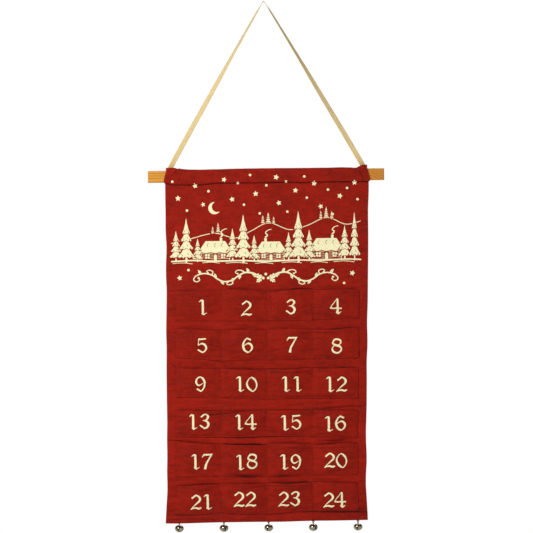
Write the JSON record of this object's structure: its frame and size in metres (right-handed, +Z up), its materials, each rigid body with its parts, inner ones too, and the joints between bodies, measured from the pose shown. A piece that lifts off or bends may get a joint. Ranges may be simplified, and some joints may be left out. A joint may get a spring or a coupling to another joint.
{
  "type": "wall-hung advent calendar",
  "caption": "Cloth wall hanging on a wooden slat with numbered pockets, a tape to hang it by and jingle bells along its hem.",
  "frame": {"origin": "where the middle of the tape rests on its nail, the highest point that carries the load", "axes": "+Z up, the front with the pockets faces -Y, the wall lies towards +Y, +X to the viewer's right"},
  "size_m": [0.48, 0.02, 1.0773],
  "materials": {
    "red_cotton": "matt plain weave",
    "cream_tape": "matt cotton twill",
    "cream_print": "matt screen print",
    "pine": "planed, satin oil",
    "nickel": "nickel plate, polished",
    "steel": "tumbled steel",
    "red_thread": "matt twisted thread"
  },
  "bodies": {
    "hanger": {"hanger_tape": "cream_tape"},
    "hanging": {"tape_tail_left": "cream_tape", "tape_tail_right": "cream_tape", "rod_casing": "red_cotton", "panel": "red_cotton", "pocket_strip_1": "red_cotton", "pocket_strip_2": "red_cotton", "pocket_strip_3": "red_cotton", "pocket_strip_4": "red_cotton", "pocket_strip_5": "red_cotton", "pocket_strip_6": "red_cotton"},
    "slat": {"slat": "pine"},
    "thread_1": {"bell_thread_1": "red_thread"},
    "bell_1": {"bell_shell_1": "nickel", "bell_shank_1": "nickel"},
    "pea_1": {"bell_pea_1": "steel"},
    "thread_2": {"bell_thread_2": "red_thread"},
    "bell_2": {"bell_shell_2": "nickel", "bell_shank_2": "nickel"},
    "pea_2": {"bell_pea_2": "steel"},
    "thread_3": {"bell_thread_3": "red_thread"},
    "bell_3": {"bell_shell_3": "nickel", "bell_shank_3": "nickel"},
    "pea_3": {"bell_pea_3": "steel"},
    "thread_4": {"bell_thread_4": "red_thread"},
    "bell_4": {"bell_shell_4": "nickel", "bell_shank_4": "nickel"},
    "pea_4": {"bell_pea_4": "steel"},
    "thread_5": {"bell_thread_5": "red_thread"},
    "bell_5": {"bell_shell_5": "nickel", "bell_shank_5": "nickel"},
    "pea_5": {"bell_pea_5": "steel"}
  },
  "joints": [
    {"name": "panel_swing", "type": "hinge", "parent": "hanger", "child": "hanging", "pos_m": [0, 0, -0.3338], "axis": [1, 0, 0], "range_deg": [-90, 90]},
    {"name": "slat_slide", "type": "slide", "parent": "hanging", "child": "slat", "axis": [1, 0, 0], "range_m": [-0.45, 0.45]},
    {"name": "thread_swing_1", "type": "hinge", "parent": "hanging", "child": "thread_1", "pos_m": [-0.1816, 0, -1.0588], "axis": [1, 0, 0], "range_deg": [-90, 90]},
    {"name": "bell_swing_1", "type": "hinge", "parent": "thread_1", "child": "bell_1", "pos_m": [-0.1816, 0, -1.0611], "axis": [0, 1, 0], "range_deg": [-30, 30]},
    {"name": "pea_rattle_1", "type": "slide", "parent": "bell_1", "child": "pea_1", "axis": [0, 0, 1], "range_m": [0, 0.0065]},
    {"name": "thread_swing_2", "type": "hinge", "parent": "hanging", "child": "thread_2", "pos_m": [-0.0908, 0, -1.0588], "axis": [1, 0, 0], "range_deg": [-90, 90]},
    {"name": "bell_swing_2", "type": "hinge", "parent": "thread_2", "child": "bell_2", "pos_m": [-0.0908, 0, -1.0611], "axis": [0, 1, 0], "range_deg": [-30, 30]},
    {"name": "pea_rattle_2", "type": "slide", "parent": "bell_2", "child": "pea_2", "axis": [0, 0, 1], "range_m": [0, 0.0065]},
    {"name": "thread_swing_3", "type": "hinge", "parent": "hanging", "child": "thread_3", "pos_m": [0, 0, -1.0588], "axis": [1, 0, 0], "range_deg": [-90, 90]},
    {"name": "bell_swing_3", "type": "hinge", "parent": "thread_3", "child": "bell_3", "pos_m": [0, 0, -1.0611], "axis": [0, 1, 0], "range_deg": [-30, 30]},
    {"name": "pea_rattle_3", "type": "slide", "parent": "bell_3", "child": "pea_3", "axis": [0, 0, 1], "range_m": [0, 0.0065]},
    {"name": "thread_swing_4", "type": "hinge", "parent": "hanging", "child": "thread_4", "pos_m": [0.0908, 0, -1.0588], "axis": [1, 0, 0], "range_deg": [-90, 90]},
    {"name": "bell_swing_4", "type": "hinge", "parent": "thread_4", "child": "bell_4", "pos_m": [0.0908, 0, -1.0611], "axis": [0, 1, 0], "range_deg": [-30, 30]},
    {"name": "pea_rattle_4", "type": "slide", "parent": "bell_4", "child": "pea_4", "axis": [0, 0, 1], "range_m": [0, 0.0065]},
    {"name": "thread_swing_5", "type": "hinge", "parent": "hanging", "child": "thread_5", "pos_m": [0.1816, 0, -1.0588], "axis": [1, 0, 0], "range_deg": [-90, 90]},
    {"name": "bell_swing_5", "type": "hinge", "parent": "thread_5", "child": "bell_5", "pos_m": [0.1816, 0, -1.0611], "axis": [0, 1, 0], "range_deg": [-30, 30]},
    {"name": "pea_rattle_5", "type": "slide", "parent": "bell_5", "child": "pea_5", "axis": [0, 0, 1], "range_m": [0, 0.0065]}
  ]
}
